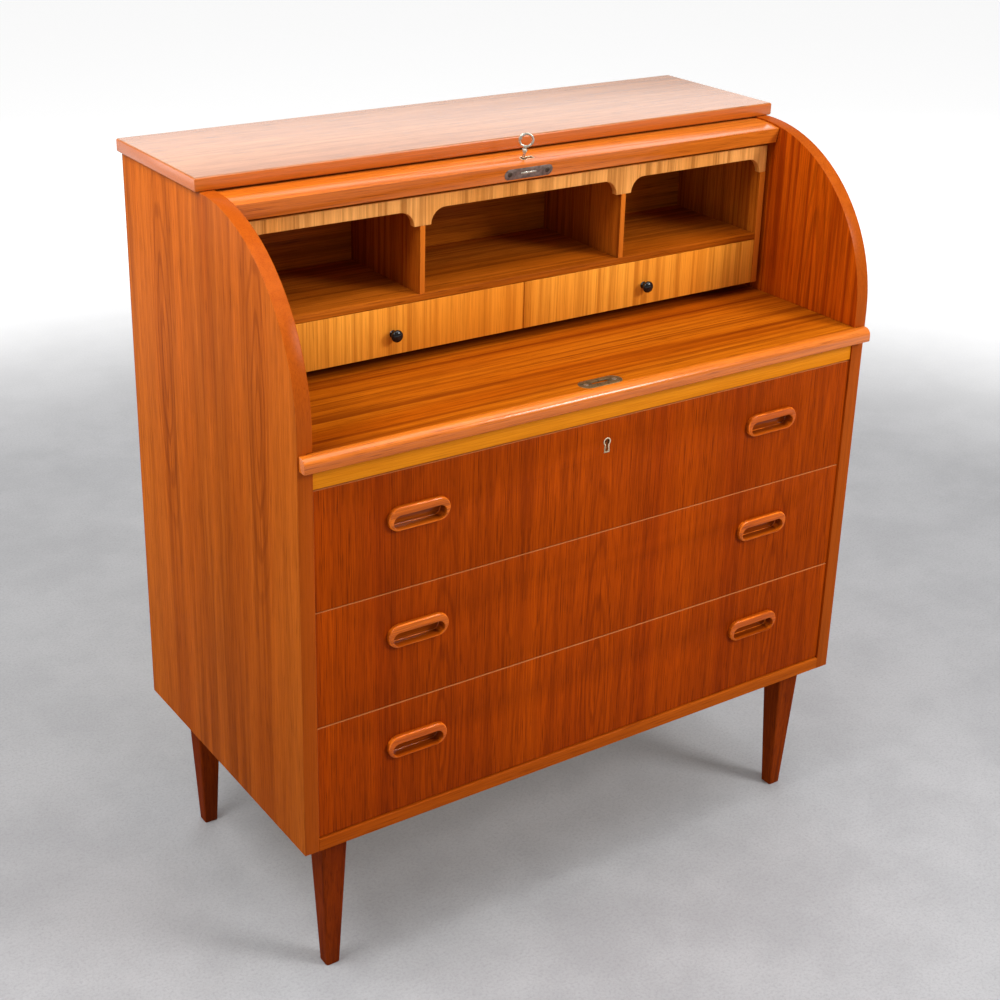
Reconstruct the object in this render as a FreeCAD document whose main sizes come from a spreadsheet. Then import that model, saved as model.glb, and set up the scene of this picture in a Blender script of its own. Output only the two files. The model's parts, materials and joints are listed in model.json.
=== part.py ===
"""A secretary desk with a roll front, in millimetres.

The origin is on the floor under the middle of the desk. +Z is up, +X is the user's right and -Y is the front.
Every size comes from the spreadsheet "dims". The roll front, its lock and its key are built in the roll's own
frame, whose origin is the pivot, and are then turned back by the angle at which the open roll rests.
"""
import FreeCAD, Part
import math
import os

import Sketcher

DRIVING = {
    # case
    "case_width": 880, "case_depth": 457, "case_height": 784, "side_thick": 20, "leg_length": 208,
    "top_thick": 17.5, "top_over": 6, "top_past_back": 1, "top_setback": 227.4, "top_ease": 1.6,
    "arc_radius": 225, "back_thick": 5, "back_inset": 1.5, "rebate": 10,
    "rail_deep": 20, "rail_setback": 2, "rail_clear": 1, "bottom_rail_high": 17.5, "floor_board": 14,
    "leg_top": 37.5, "leg_foot": 19.5, "leg_inset": 53, "leg_front": 39, "leg_back": 405, "leg_ease": 3,
    "plate_side": 60, "plate_thick": 3, "stud_radius": 4, "stud_length": 30,
    # writing board
    "board_low": 518.5, "board_thick": 18, "board_long": 425, "tongue": 7.5, "nose_reach": 14,
    "nose_high": 19, "nose_round": 10, "nose_edge": 2, "nose_short": 2, "slip": 0.3, "groove_spare": 5,
    # large drawers
    "line_low": 18.3, "pitch": 156.8, "joint_gap": 1.6, "front_thick": 18, "front_inset": 2.4,
    "side_gap": 1.2, "tray_thick": 12, "tray_long": 408, "tray_low": 14, "tray_high": 112,
    "runner_deep": 7, "runner_high": 16, "runner_low": 62, "runner_start": 40, "runner_stop": 25,
    "runner_play": 0.5, "panel_thick": 4, "panel_up": 6, "panel_in": 4, "panel_let_in": 6,
    "rear_wall_in": 10, "rear_wall_thick": 10, "rear_wall_drop": 8,
    "pull_x": 279.5, "pull_up": 95, "pull_half": 27.5, "pull_round": 15.5, "pull_reach": 6, "pull_tail": 12,
    "pull_ease": 2.5, "pull_lip": 1, "pull_floor": 3, "mouth_drop": 4, "mouth_rim": 6.2, "mouth_ease": 1.5,
    "hollow_drop": 0.8, "hollow_lip": 4.5,
    # pigeonhole unit
    "unit_front": 192, "unit_low": 551, "unit_high": 751.5, "unit_gap": 8, "unit_side": 10, "unit_depth": 174,
    "shelf_top": 625, "shelf_thick": 9, "divider_x": 158, "divider_thick": 7.5, "ply": 5, "cover_thick": 3,
    "cover_radius": 210, "apron_thick": 10, "apron_low": 734, "pendant_low": 713.5, "pendant_half": 12.5,
    "unit_clear": 1, "bearer_front": 30, "bearer_back": 16, "partition_half": 4, "end_post": 2,
    "small_thick": 10, "small_gap": 0.5, "small_long": 156, "small_wall": 6, "small_high": 50,
    "small_panel": 3, "small_panel_up": 2, "small_back_drop": 4,
    "knob_x": 201, "knob_high": 579.5, "knob_radius": 8.2, "knob_long": 15, "knob_crown": 4,
    "knob_edge": 2, "knob_under": 2, "knob_lip": 0.6, "knob_collar": 2,
    # roll front, measured from its pivot
    "roll_outer": 223, "shell_thick": 8, "rail_thick": 21, "roll_end_gap": 1.5, "open_angle": 11.9,
    "rail_angle": 11.6, "roll_angle": 100.2, "cheek_thick": 4.5, "hub_radius": 7, "pin_radius": 3,
    "pin_fit": 0.05, "pin_sunk": 12, "pin_clear": 0.8, "cheek_gap": 0.3, "cheek_short": 1,
    "stop_near": 4, "stop_far": 26, "stop_deep": 14, "stop_high": 18, "stop_clear": 1.4,
    # locks
    "lock_x": 7, "lock_sunk": 11.8, "plate_half": 29.8, "plate_round": 7.3, "face_plate": 1.6,
    "lock_deep": 30, "lock_width": 44, "lock_thick": 10, "bolt_half": 12, "bolt_thick": 3, "bolt_long": 11.5,
    "plate_proud": 0.4, "bit_room": 10.3, "bit_room_half": 3.5, "bolt_way_short": 2.6,
    "scutcheon_sunk": 2, "scutcheon_thick": 1.6, "key_left": 5, "key_back": 18,
    "key_stem": 2.1, "key_reach": 15, "key_collar": 3.6, "collar_high": 2.4, "collar_drop": 4,
    "key_bit": 9.5, "key_bit_half": 3, "key_bit_thick": 2, "key_ring": 8.6, "key_wire": 1.7, "key_facing": 28,
    "bow_overlap": 1,
    "strike_behind": 13.7, "strike_half": 19.8, "strike_round": 12.2, "strike_thick": 2, "strike_side": 1.5,
    "strike_slot": 3.5, "strike_slot_back": 1.5, "strike_deep": 14,
    "drawer_bolt_behind": 12, "drawer_bolt_half": 9.7, "drawer_bolt_thick": 3.4, "drawer_bolt_long": 22,
    "drawer_bolt_spare": 2, "bolt_slot_half": 10, "bolt_slot_deep": 10, "bolt_slot_wide": 5,
    "drawer_lock_half": 26, "drawer_lock_drop": 16, "drawer_lock_front": 4, "drawer_bit_room": 10.3,
    # keyhole inserts, the same in the top drawer and the roll front
    "key_high": 458.1, "hole_head": 5.6, "hole_neck": 3.6, "hole_foot": 4.3, "hole_reach": 15,
    "hole_rim": 1.6, "hole_proud": 0.6, "hole_sunk": 3,
}

doc = FreeCAD.newDocument("secretary_desk")
sheet = doc.addObject("Spreadsheet::Sheet", "dims")
for row, (alias, number) in enumerate(DRIVING.items(), start=1):
    sheet.set(f"A{row}", alias)
    sheet.set(f"B{row}", str(number))
    sheet.setAlias(f"B{row}", alias)
doc.recompute()

X_AXIS, Y_AXIS, Z_AXIS = (FreeCAD.Vector(*v) for v in ((1, 0, 0), (0, 1, 0), (0, 0, 1)))
NODES = {}


class Size:
    """A number with the spreadsheet expression that gives it, so that plain arithmetic builds both."""

    def __init__(self, value, text):
        self.value, self.text = value, text

    @staticmethod
    def of(number):
        return number if isinstance(number, Size) else Size(float(number), f"({float(number)})")

    def _with(self, other, sign, value):
        return Size(value, f"({self.text} {sign} {other.text})")

    def __add__(self, other):
        other = Size.of(other)
        return self._with(other, "+", self.value + other.value)

    def __sub__(self, other):
        other = Size.of(other)
        return self._with(other, "-", self.value - other.value)

    def __mul__(self, other):
        other = Size.of(other)
        return self._with(other, "*", self.value * other.value)

    def __truediv__(self, other):
        other = Size.of(other)
        return self._with(other, "/", self.value / other.value)

    def __radd__(self, other):
        return Size.of(other) + self

    def __rsub__(self, other):
        return Size.of(other) - self

    def __rmul__(self, other):
        return Size.of(other) * self

    def __neg__(self):
        return Size(-self.value, f"(0 - {self.text})")


def cell(alias):
    return Size(float(DRIVING[alias]), f"dims.{alias}")


def cosine(angle):
    return Size(math.cos(math.radians(angle.value)), f"cos({angle.text} * 1 deg)")


def sine(angle):
    return Size(math.sin(math.radians(angle.value)), f"sin({angle.text} * 1 deg)")


def root(size):
    return Size(math.sqrt(size.value), f"sqrt({size.text})")


def bind(thing, name, size):
    thing.setExpression(name, Size.of(size).text)


def put(thing, x, y, z):
    for letter, size in zip("xyz", (x, y, z)):
        bind(thing, f"Placement.Base.{letter}", size)


def box(name, x, y, z):
    """A box between the low and high ends given for each axis."""
    made = doc.addObject("Part::Box", name)
    for edge, (low, high) in zip(("Length", "Width", "Height"), (x, y, z)):
        bind(made, edge, Size.of(high) - low)
    put(made, x[0], y[0], z[0])
    return made


def rod(name, axis, centre, radius, ends):
    """A cylinder along axis between two ends. centre gives the other two coordinates, in X, Y, Z order."""
    made = doc.addObject("Part::Cylinder", name)
    bind(made, "Radius", radius)
    bind(made, "Height", Size.of(ends[1]) - ends[0])
    first, second = centre
    if axis == "x":
        made.Placement.Rotation = FreeCAD.Rotation(Y_AXIS, 90)
        put(made, ends[0], first, second)
    elif axis == "y":
        made.Placement.Rotation = FreeCAD.Rotation(X_AXIS, -90)
        put(made, first, ends[0], second)
    else:
        put(made, first, second, ends[0])
    return made


def joined(name, kind, parts):
    made = doc.addObject(kind, name)
    if kind == "Part::Compound":
        made.Links = list(parts)
    else:
        made.Shapes = list(parts)
    return made


def fuse(name, *parts):
    return joined(name, "Part::MultiFuse", parts)


def cut(name, base, *tools):
    made = doc.addObject("Part::Cut", name)
    made.Base = base
    made.Tool = tools[0] if len(tools) == 1 else fuse(name + "_tools", *tools)
    return made


def arc_of(start, end, centre, turns_left):
    """The arc from start to end about centre. An arc that turns right is stored from its end to its start."""
    first, last = (start, end) if turns_left else (end, start)
    middle = FreeCAD.Vector(*centre, 0)
    angles = [math.atan2(p[1] - centre[1], p[0] - centre[0]) for p in (first, last)]
    if angles[1] <= angles[0]:
        angles[1] += 2 * math.pi
    radius = math.hypot(start[0] - centre[0], start[1] - centre[1])
    return Part.ArcOfCircle(Part.Circle(middle, Z_AXIS, radius), *angles)


def sketch_of(body, plane, outline):
    """A fully constrained closed sketch on one of the body's own planes.

    An outline is a list of points (u, v). A point (u, v, centre, turns_left) is reached by an arc.
    """
    sketch = body.newObject("Sketcher::SketchObject", body.Name + "_sketch")
    support = next(o for o in body.Origin.OriginFeatures if o.Role == plane)
    sketch.AttachmentSupport = [(support, "")]
    sketch.MapMode = "FlatFace"
    points = [[Size.of(p[0]), Size.of(p[1])] for p in outline]
    flat = [(u.value, v.value) for u, v in points]
    starts, ends = [], []
    for i, point in enumerate(outline):
        here, there = flat[i - 1], flat[i]
        if len(point) == 2:
            lines = Part.LineSegment(FreeCAD.Vector(*here, 0), FreeCAD.Vector(*there, 0))
            index = sketch.addGeometry(lines, False)
            starts.append((index, 1))
            ends.append((index, 2))
            continue
        centre, turns_left = point[2], point[3]
        spot = (Size.of(centre[0]).value, Size.of(centre[1]).value)
        index = sketch.addGeometry(arc_of(here, there, spot, turns_left), False)
        starts.append((index, 1 if turns_left else 2))
        ends.append((index, 2 if turns_left else 1))
        upright = abs(there[1] - here[1]) > abs(there[0] - here[0])
        fixed = Size.of(centre[0] if upright else centre[1])
        hold(sketch, "DistanceX" if upright else "DistanceY", (index, 3), fixed)
    for i, (u, v) in enumerate(points):
        following = starts[(i + 1) % len(points)]
        sketch.addConstraint(Sketcher.Constraint("Coincident", *ends[i], *following))
        hold(sketch, "DistanceX", ends[i], u)
        hold(sketch, "DistanceY", ends[i], v)
    return sketch


def hold(sketch, kind, point, size):
    number = sketch.addConstraint(Sketcher.Constraint(kind, -1, 1, *point, size.value))
    sketch.setExpression(f"Constraints[{number}]", size.text)


def prism(name, axis, outline, low, high):
    """A PartDesign body: the outline, drawn looking along the axis, padded from low to high.

    Outlines are (y, z) for an x prism, (x, z) for a y prism and (x, y) for a z prism.
    """
    body = doc.addObject("PartDesign::Body", name)
    plane = {"x": "YZ_Plane", "y": "XZ_Plane", "z": "XY_Plane"}[axis]
    pad = body.newObject("PartDesign::Pad", name + "_pad")
    pad.Profile = sketch_of(body, plane, outline)
    bind(pad, "Length", Size.of(high) - low)
    bind(body, f"Placement.Base.{axis}", high if axis == "y" else low)
    return body


def ease(body, size, chosen, kind="Fillet"):
    """Rounds or chamfers the edges of a prism for which chosen(edge) holds, in the body's own frame."""
    doc.recompute()
    tip = body.Tip
    names = [f"Edge{i}" for i, edge in enumerate(tip.Shape.Edges, start=1) if chosen(edge)]
    made = body.newObject("PartDesign::" + kind, f"{body.Name}_{kind.lower()}")
    made.Base = (tip, names)
    bind(made, "Radius" if kind == "Fillet" else "Size", size)
    return body


def turned_solid(name, outline):
    """A PartDesign body: the (radius, y) outline turned about the Y axis."""
    body = doc.addObject("PartDesign::Body", name)
    turning = body.newObject("PartDesign::Revolution", name + "_turning")
    sketch = sketch_of(body, "XY_Plane", outline)
    turning.Profile = sketch
    turning.ReferenceAxis = (sketch, ["V_Axis"])
    turning.Angle = 360
    return body


def stadium(u, v, half, radius):
    """A slot outline centred at (u, v): a level straight stretch of 2 * half with round ends."""
    return [
        (u - half, v - radius, (u - half, v), True),
        (u + half, v - radius),
        (u + half, v + radius, (u + half, v), True),
        (u - half, v + radius),
    ]


def keyhole(u, v, inset=0):
    """A keyhole outline: a round head centred at (u, v) over a foot that flares downwards."""
    head, neck = cell("hole_head") - inset, cell("hole_neck") - inset
    foot, reach = cell("hole_foot") - inset, cell("hole_reach") - inset
    join = root(head * head - neck * neck)
    return [
        (u - foot, v - reach),
        (u + foot, v - reach),
        (u + neck, v - join),
        (u - neck, v - join, (u, v), True),
    ]


def lying_keyhole(u, v, inset=0):
    """The same outline on its side, with its foot towards +u."""
    outline = []
    for point in keyhole(Size.of(0), Size.of(0), inset):
        spot = (u - point[1], v + point[0])
        outline.append((*spot, (u, v), True) if len(point) > 2 else spot)
    return outline


def rectangle(u, v):
    return [(u[0], v[0]), (u[1], v[0]), (u[1], v[1]), (u[0], v[1])]


def mirrored(sign, low, high):
    """The stretch from low to high on the right side (sign 1), or its mirror image on the left (sign -1)."""
    return (low, high) if sign > 0 else (-Size.of(high), -Size.of(low))


def sub_part(name, *solids, in_roll=False):
    """Names a finished sub-part. Several solids become one group; roll pieces are turned to the open rest."""
    made = solids[0]
    if len(solids) > 1 or in_roll:
        made = joined(name + "_node", "Part::Compound", solids)
    if in_roll:
        made.Placement.Rotation = FreeCAD.Rotation(X_AXIS, 1)
        bind(made, "Placement.Rotation.Angle", open_angle)
        put(made, 0, pivot_y, pivot_z)
    made.Label = name
    NODES[name] = made
    return made


SIDES = (("left", -1), ("right", 1))

# ---------------------------------------------------------------- places that everything else hangs on
half_width = cell("case_width") / 2
inner = half_width - cell("side_thick")
front = cell("nose_reach") - (cell("nose_reach") + cell("case_depth") + cell("top_past_back")) / 2
back = front + cell("case_depth")
base = cell("leg_length")
top = base + cell("case_height")
pivot_y = front + cell("arc_radius")
pivot_z = top - cell("arc_radius")
open_angle = cell("open_angle")
slip = cell("slip")
back_panel_y = back - cell("back_inset") - cell("back_thick")
board_low = base + cell("board_low")
board_top = board_low + cell("board_thick")


# ---------------------------------------------------------------- case
def side_panel(name, sign):
    outline = [
        (front, base),
        (back, base),
        (back, top),
        (pivot_y, top),
        (front, pivot_z, (pivot_y, pivot_z), True),
    ]
    panel = prism(name + "_board", "x", outline, *mirrored(sign, inner, half_width))
    groove = box(
        name + "_groove",
        mirrored(sign, inner, inner + cell("tongue") + slip),
        (front, front + cell("board_long") + cell("groove_spare")),
        (board_low - slip, board_top + slip),
    )
    rebate_x = mirrored(sign, inner, inner + cell("rebate"))
    rebate = box(name + "_rebate", rebate_x, (back_panel_y, back), (base, top))
    sunk = mirrored(sign, inner, inner + cell("pin_sunk"))
    pin_hole = rod(name + "_pin_hole", "x", (pivot_y, pivot_z), cell("pin_radius"), sunk)
    return sub_part(name, cut(name, panel, groove, rebate, pin_hole))


for word, sign in SIDES:
    side_panel(f"side_{word}", sign)

top_outline = rectangle(
    (-half_width - cell("top_over"), half_width + cell("top_over")),
    (front + cell("top_setback"), back + cell("top_past_back")),
)
top_panel = prism("top_panel", "z", top_outline, top, top + cell("top_thick"))
ease(top_panel, cell("top_ease"), lambda e: abs(e.tangentAt(e.FirstParameter).z) < 0.5, "Chamfer")
sub_part("top_panel", top_panel)

ease_back = cell("rebate") - slip
sub_part("back_panel", box(
    "back_panel",
    (-inner - ease_back, inner + ease_back),
    (back_panel_y, back_panel_y + cell("back_thick")),
    (base + cell("rail_clear"), top),
))
sub_part("bottom_panel", box(
    "bottom_panel",
    (-inner, inner),
    (front + cell("rail_deep"), back_panel_y),
    (base + cell("plate_thick"), base + cell("plate_thick") + cell("floor_board")),
))
sub_part("bottom_rail", box(
    "bottom_rail", (-inner, inner), (front, front + cell("rail_deep")),
    (base, base + cell("bottom_rail_high")),
))

last_line = base + cell("line_low") + 3 * cell("pitch")
rail_low = last_line + cell("joint_gap")
rail_high = board_low - cell("rail_clear")
rail_face = front + cell("rail_setback")
bolt_y = front + cell("front_inset") + cell("drawer_bolt_behind")
board_rail = box(
    "board_rail_bar", (-inner, inner), (rail_face, rail_face + cell("rail_deep")), (rail_low, rail_high),
)
bolt_slot = box(
    "bolt_slot",
    (-cell("bolt_slot_half"), cell("bolt_slot_half")),
    (bolt_y - cell("bolt_slot_wide") / 2, bolt_y + cell("bolt_slot_wide") / 2),
    (rail_low, rail_low + cell("bolt_slot_deep")),
)
sub_part("board_rail", cut("board_rail", board_rail, bolt_slot))
sub_part("back_rail", box(
    "back_rail", (-inner, inner), (back_panel_y - cell("rail_deep"), back_panel_y), (rail_low, rail_high),
))


def drawer_low(number):
    """The lowest point of a large drawer's front, counted from the bottom drawer, 0."""
    return base + cell("line_low") + number * cell("pitch") + cell("joint_gap") / 2


runners = []
for number in range(3):
    low = drawer_low(number) + cell("runner_low")
    for word, sign in SIDES:
        runners.append(box(
            f"runner_{word}_{number}",
            mirrored(sign, inner - cell("runner_deep"), inner),
            (front + cell("runner_start"), back_panel_y - cell("runner_stop")),
            (low, low + cell("runner_high")),
        ))
sub_part("drawer_runners", *runners)

unit_low = base + cell("unit_low")
unit_y = front + cell("unit_front")
unit_half = inner - cell("unit_gap")
sub_part("unit_bearers", *[
    box(
        f"bearer_{word}",
        mirrored(sign, unit_half - cell("unit_side"), inner),
        (unit_y + cell("bearer_front"), back_panel_y - cell("bearer_back")),
        (board_top + cell("unit_clear"), unit_low),
    )
    for word, sign in SIDES
])


def leg(name, x, y):
    taper = doc.addObject("Part::Wedge", name + "_taper")
    foot, head = cell("leg_foot") / 2, cell("leg_top") / 2
    sizes = {
        "Xmin": -foot, "Xmax": foot, "Zmin": -foot, "Zmax": foot,
        "X2min": -head, "X2max": head, "Z2min": -head, "Z2max": head,
        "Ymin": 0, "Ymax": cell("leg_length"),
    }
    for side, size in sizes.items():
        bind(taper, side, size)
    taper.Placement.Rotation = FreeCAD.Rotation(X_AXIS, 90)
    put(taper, x, y, 0)
    doc.recompute()
    rounded = doc.addObject("Part::Fillet", name + "_rounded")
    rounded.Base = taper
    soft = cell("leg_ease").value
    upright = [i for i, e in enumerate(taper.Shape.Edges, start=1) if e.Length > cell("leg_length").value / 2]
    rounded.Edges = [(i, soft, soft) for i in upright]
    hole = rod(name + "_hole", "z", (x, y), cell("stud_radius"), (base - cell("stud_length"), base))
    return sub_part(name, cut(name, rounded, hole))


plates = []
leg_x = half_width - cell("leg_inset")
for row_word, y in (("front", front + cell("leg_front")), ("back", front + cell("leg_back"))):
    for word, sign in SIDES:
        leg(f"leg_{row_word}_{word}", sign * leg_x, y)
        reach = cell("plate_side") / 2
        x = sign * leg_x
        plate = box(
            f"plate_{row_word}_{word}", (x - reach, x + reach), (y - cell("leg_top") / 2, y + reach),
            (base, base + cell("plate_thick")),
        )
        stud_ends = (base - cell("stud_length"), base + cell("plate_thick"))
        stud = rod(f"stud_{row_word}_{word}", "z", (x, y), cell("stud_radius"), stud_ends)
        plates.append(fuse(f"plate_with_stud_{row_word}_{word}", plate, stud))
sub_part("leg_plates", *plates)

sub_part("roll_pivot_pins", *[
    rod(
        f"pivot_pin_{word}", "x", (pivot_y, pivot_z), cell("pin_radius"),
        mirrored(sign, unit_half + cell("pin_clear"), inner + cell("pin_sunk")),
    )
    for word, sign in SIDES
])
stop_top = pivot_z + cell("roll_outer") * sine(90 + open_angle - cell("roll_angle")) - cell("stop_clear")
sub_part("roll_stops", *[
    box(
        f"stop_{word}",
        mirrored(sign, inner - cell("stop_far"), inner - cell("stop_near")),
        (back_panel_y - cell("stop_deep"), back_panel_y),
        (stop_top - cell("stop_high"), stop_top),
    )
    for word, sign in SIDES
])

# ---------------------------------------------------------------- pigeonhole unit
unit_high = base + cell("unit_high")
unit_back_y = unit_y + cell("unit_depth")
unit_rear = unit_back_y + cell("ply")
wall_radius = cell("cover_radius") - cell("cover_thick")
wall_high = unit_high - cell("cover_thick")
apron_back = unit_y + cell("apron_thick")
shelf_top = base + cell("shelf_top")
shelf_low = shelf_top - cell("shelf_thick")
pendant_low = base + cell("pendant_low")
room = unit_half - cell("unit_side")


def on_circle_y(radius, z):
    """How far behind the pivot a circle about it reaches at height z."""
    rise = z - pivot_z
    return pivot_y + root(radius * radius - rise * rise)


def on_circle_z(radius, y):
    """How high above the pivot a circle about it reaches at depth y."""
    run = y - pivot_y
    return pivot_z + root(radius * radius - run * run)


def unit_wall(name, x, low):
    """An upright wall of the unit, notched for the apron, with its rear top corner on the roll's circle."""
    return prism(name, "x", [
        (unit_y, low),
        (unit_back_y, low),
        (unit_back_y, on_circle_z(wall_radius, unit_back_y)),
        (on_circle_y(wall_radius, wall_high), wall_high, (pivot_y, pivot_z), True),
        (apron_back, wall_high),
        (apron_back, pendant_low),
        (unit_y, pendant_low),
    ], *x)


for word, sign in SIDES:
    name = f"unit_side_{word}"
    sub_part(name, unit_wall(name, mirrored(sign, room, unit_half), unit_low))
divider_half = cell("divider_thick") / 2
sub_part("unit_dividers", *[
    unit_wall(
        f"divider_{word}",
        mirrored(sign, cell("divider_x") - divider_half, cell("divider_x") + divider_half),
        shelf_top,
    )
    for word, sign in SIDES
])
behind_small_fronts = (unit_y + cell("small_thick") + cell("unit_clear"), unit_back_y)
sub_part("unit_base", box(
    "unit_base", (-room, room), behind_small_fronts, (unit_low, unit_low + cell("ply")),
))
partition_half = cell("partition_half")
sub_part("unit_partition", box(
    "unit_partition", (-partition_half, partition_half), behind_small_fronts,
    (unit_low + cell("ply"), shelf_low),
))
sub_part("unit_shelf", box("unit_shelf", (-room, room), (unit_y, unit_back_y), (shelf_low, shelf_top)))
cover_rear_z = on_circle_z(wall_radius, unit_rear)
sub_part("unit_back", box(
    "unit_back", (-unit_half, unit_half), (unit_back_y, unit_rear), (unit_low, cover_rear_z),
))
sub_part("unit_cover", prism("unit_cover", "x", [
    (apron_back, wall_high),
    (on_circle_y(wall_radius, wall_high), wall_high),
    (unit_rear, cover_rear_z, (pivot_y, pivot_z), False),
    (unit_rear, on_circle_z(cell("cover_radius"), unit_rear)),
    (on_circle_y(cell("cover_radius"), unit_high), unit_high, (pivot_y, pivot_z), True),
    (apron_back, unit_high),
], -unit_half, unit_half))


def apron_outline():
    """The carved board above the pigeonholes: hanging ends at every wall, joined by quarter rounds."""
    low = base + cell("apron_low")
    curl = low - pendant_low
    pendant = cell("pendant_half")
    posts = [(-room, -room + cell("end_post"))]
    posts += [(x - pendant, x + pendant) for x in (-cell("divider_x"), cell("divider_x"))]
    posts += [(room - cell("end_post"), room)]
    outline = [(-unit_half, pendant_low)]
    for i, (left, right) in enumerate(posts):
        if i > 0:
            outline.append((left - curl, low))
            outline.append((left, pendant_low, (left - curl, pendant_low), False))
        if i < len(posts) - 1:
            outline.append((right, pendant_low))
            outline.append((right + curl, low, (right + curl, pendant_low), False))
    return outline + [(unit_half, pendant_low), (unit_half, unit_high), (-unit_half, unit_high)]


sub_part("unit_apron", prism("unit_apron", "y", apron_outline(), unit_y, apron_back))


def small_drawer(word, sign):
    name = f"small_drawer_{word}"
    gap = cell("small_gap")
    near, far = Size.of(0) + gap, room - gap
    low, high = unit_low + gap, shelf_low - gap
    face_back = unit_y + cell("small_thick")
    face_board = box(f"{name}_front", mirrored(sign, near, far), (unit_y, face_back), (low, high))
    sub_part(f"{name}_front", face_board)
    tray_near, tray_far = partition_half + 2 * gap, far - gap
    wall = cell("small_wall")
    tray_low = unit_low + cell("ply") + slip
    tray_high = tray_low + cell("small_high")
    rear = face_back + cell("small_long")
    panel_low = tray_low + cell("small_panel_up")
    panel_high = panel_low + cell("small_panel")
    panel = box(
        f"{name}_bottom", mirrored(sign, tray_near + wall / 2, tray_far - wall / 2),
        (face_back, rear), (panel_low, panel_high),
    )
    walls = []
    for place, x in (("inner", (tray_near, tray_near + wall)), ("outer", (tray_far - wall, tray_far))):
        bar = box(f"{name}_{place}_bar", mirrored(sign, *x), (face_back, rear), (tray_low, tray_high))
        walls.append(cut(f"{name}_{place}", bar, panel))
    walls.append(box(
        f"{name}_back", mirrored(sign, tray_near + wall, tray_far - wall), (rear - wall, rear),
        (panel_high, tray_high - cell("small_back_drop")),
    ))
    sub_part(f"{name}_tray", *walls)
    sub_part(f"{name}_bottom", panel)
    radius, long, crown = cell("knob_radius"), cell("knob_long"), cell("knob_crown")
    crown_low = crown - long
    crown_centre = crown_low + (radius * radius - crown * crown) / (2 * crown)
    edge_low = crown_low + cell("knob_edge")
    knob = turned_solid(f"{name}_knob", [
        (0, 0),
        (0, -long),
        (radius, crown_low, (0, crown_centre), True),
        (radius - cell("knob_lip"), edge_low),
        (radius / 2, edge_low + cell("knob_under")),
        (radius / 2, -cell("knob_collar")),
        (radius / 2 + cell("knob_lip") * 2, 0),
    ])
    put(knob, sign * cell("knob_x"), unit_y, base + cell("knob_high"))
    sub_part(f"{name}_knob", knob)


for word, sign in SIDES:
    small_drawer(word, sign)


# ---------------------------------------------------------------- large drawers
def pull(name, x, z, face):
    """A carved pull: a round-ended block let into the front, its finger recess undercut at the top."""
    half, radius, reach = cell("pull_half"), cell("pull_round"), cell("pull_reach")
    near = face - reach
    floor = face + cell("pull_tail") - cell("pull_floor")
    block = prism(f"{name}_block", "y", stadium(x, z, half, radius), near, face)
    ease(block, cell("pull_ease"), lambda e: all(abs(v.Point.y + reach.value) < 0.01 for v in e.Vertexes))
    tail_outline = stadium(x, z, half, radius - cell("pull_lip"))
    tail = prism(f"{name}_tail", "y", tail_outline, face, face + cell("pull_tail"))
    mouth_outline = stadium(x, z - cell("mouth_drop"), half, radius - cell("mouth_rim"))
    mouth = prism(f"{name}_mouth", "y", mouth_outline, near, floor)
    ease(mouth, cell("mouth_ease"), lambda e: all(abs(v.Point.y) < 0.01 for v in e.Vertexes))
    hollow_outline = stadium(x, z - cell("hollow_drop"), half, radius - cell("mouth_rim"))
    hollow = prism(f"{name}_hollow", "y", hollow_outline, near + cell("hollow_lip"), floor)
    return cut(name, fuse(f"{name}_solid", block, tail), mouth, hollow), tail


def large_drawer(word, number):
    name = f"{word}_drawer"
    low = drawer_low(number)
    high = low + cell("pitch") - cell("joint_gap")
    face = front + cell("front_inset")
    face_back = face + cell("front_thick")
    outer = inner - cell("side_gap")
    wall = cell("tray_thick")
    tray_low = low + cell("tray_low")
    tray_high = tray_low + cell("tray_high")
    rear = face_back + cell("tray_long")
    panel_low = tray_low + cell("panel_up")
    panel_high = panel_low + cell("panel_thick")
    room_in = outer - wall
    panel = box(
        f"{name}_bottom", (-room_in - cell("panel_in"), room_in + cell("panel_in")),
        (face_back - cell("panel_let_in"), rear), (panel_low, panel_high),
    )
    groove_low = low + cell("runner_low")
    walls = []
    for side, sign in SIDES:
        wall_x = mirrored(sign, room_in, outer)
        bar = box(f"{name}_side_{side}_bar", wall_x, (face_back, rear), (tray_low, tray_high))
        groove = box(
            f"{name}_groove_{side}",
            mirrored(sign, inner - cell("runner_deep") - cell("runner_play"), outer),
            (face_back, rear),
            (groove_low - slip, groove_low + cell("runner_high") + slip),
        )
        walls.append(cut(f"{name}_side_{side}", bar, groove, panel))
    rear_wall_back = rear - cell("rear_wall_in")
    walls.append(box(
        f"{name}_back", (-room_in, room_in), (rear_wall_back - cell("rear_wall_thick"), rear_wall_back),
        (panel_high, tray_high - cell("rear_wall_drop")),
    ))
    pull_z = low + cell("pull_up")
    made = [pull(f"{name}_pull_{side}", sign * cell("pull_x"), pull_z, face) for side, sign in SIDES]
    tools = [panel] + [tail for _, tail in made]
    if word == "top":
        tools += drawer_lock(high, face, face_back)
    blank = box(f"{name}_front_blank", (-outer, outer), (face, face_back), (low, high))
    sub_part(f"{name}_front", cut(f"{name}_front", blank, *tools))
    sub_part(f"{name}_tray", *walls)
    sub_part(f"{name}_bottom", panel)
    sub_part(f"{name}_pulls", *[solid for solid, _ in made])


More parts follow.
